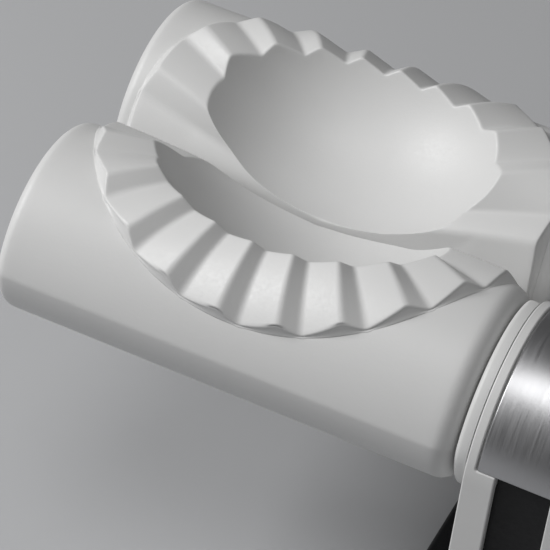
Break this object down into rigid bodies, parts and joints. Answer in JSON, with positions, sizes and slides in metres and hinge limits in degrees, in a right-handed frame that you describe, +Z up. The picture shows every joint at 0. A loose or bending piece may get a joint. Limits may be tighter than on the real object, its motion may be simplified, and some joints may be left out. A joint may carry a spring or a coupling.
{
  "type": "dumpling maker",
  "caption": "Double roller press that folds and crimps dumplings between paired pleated moulds, with a narrow white and steel body and a rear press lever.",
  "frame": {"origin": "on the table under the middle of the body, in the plane of the mat's underside", "axes": "+X along the mould rollers, +Y from the front to the lever side, +Z up"},
  "size_m": [0.266, 0.188, 0.1267],
  "materials": {
    "white_plastic": "satin",
    "black_plastic": "satin",
    "brushed_cover": "brushed",
    "gear_plastic": "matte",
    "bronze": "satin",
    "rubber": "matte",
    "steel": "satin",
    "zinc_steel": "polished"
  },
  "bodies": {
    "frame": {"base_mat": "rubber", "base_plate": "black_plastic", "base_screws": "zinc_steel", "bumper": "rubber", "front_cover": "brushed_cover", "front_high_rod": "steel", "front_left_bush": "bronze", "front_low_rod": "steel", "front_panel": "black_plastic", "front_right_bush": "bronze", "idler_pin_a": "steel", "idler_pin_b": "steel", "left_cheek": "white_plastic", "left_cheek_screws": "zinc_steel", "pivot_pin": "steel", "rear_cover": "brushed_cover", "rear_left_bush": "bronze", "rear_low_rod": "steel", "rear_panel": "black_plastic", "rear_right_bush": "bronze", "return_spring": "steel", "right_cheek": "white_plastic", "right_cheek_screws": "zinc_steel", "stop_rod": "steel", "valley_cap": "brushed_cover"},
    "front_roll": {"front_gear": "gear_plastic", "front_left_cap": "black_plastic", "front_left_carrier": "white_plastic", "front_left_mould": "white_plastic", "front_right_cap": "black_plastic", "front_right_carrier": "white_plastic", "front_right_mould": "white_plastic", "front_shaft": "steel"},
    "rear_roll": {"rear_gear": "gear_plastic", "rear_left_cap": "black_plastic", "rear_left_carrier": "white_plastic", "rear_left_mould": "white_plastic", "rear_right_cap": "black_plastic", "rear_right_carrier": "white_plastic", "rear_right_mould": "white_plastic", "rear_shaft": "steel"},
    "idler_a": {"idler_gear_a": "gear_plastic"},
    "idler_b": {"idler_gear_b": "gear_plastic"},
    "lever": {"lever_grip": "black_plastic", "lever_hub": "steel", "lever_plate": "steel"}
  },
  "joints": [
    {"name": "front_turn", "type": "hinge", "parent": "frame", "child": "front_roll", "pos_m": [0, -0.0276, 0.08], "axis": [-1, 0, 0], "range_deg": [0, 145]},
    {"name": "rear_turn", "type": "hinge", "parent": "frame", "child": "rear_roll", "pos_m": [0, 0.0276, 0.08], "axis": [1, 0, 0], "range_deg": [0, 145]},
    {"name": "idler_a_spin", "type": "hinge", "parent": "frame", "child": "idler_a", "pos_m": [0, -0.012, 0.06176], "axis": [1, 0, 0], "range_deg": [0, 145]},
    {"name": "idler_b_spin", "type": "hinge", "parent": "frame", "child": "idler_b", "pos_m": [0, 0.012, 0.06176], "axis": [-1, 0, 0], "range_deg": [0, 145]},
    {"name": "lever_press", "type": "hinge", "parent": "frame", "child": "lever", "pos_m": [0, 0.042, 0.04055], "axis": [-1, 0, 0], "range_deg": [0, 58], "stiffness_Nm_per_rad": 0.2, "springref_deg": -42.97}
  ],
  "couplings": [
    {"joint": "rear_turn", "follows": "front_turn", "ratio": 1},
    {"joint": "idler_a_spin", "follows": "front_turn", "ratio": 1},
    {"joint": "idler_b_spin", "follows": "front_turn", "ratio": 1},
    {"joint": "lever_press", "follows": "front_turn", "ratio": 0.4}
  ]
}
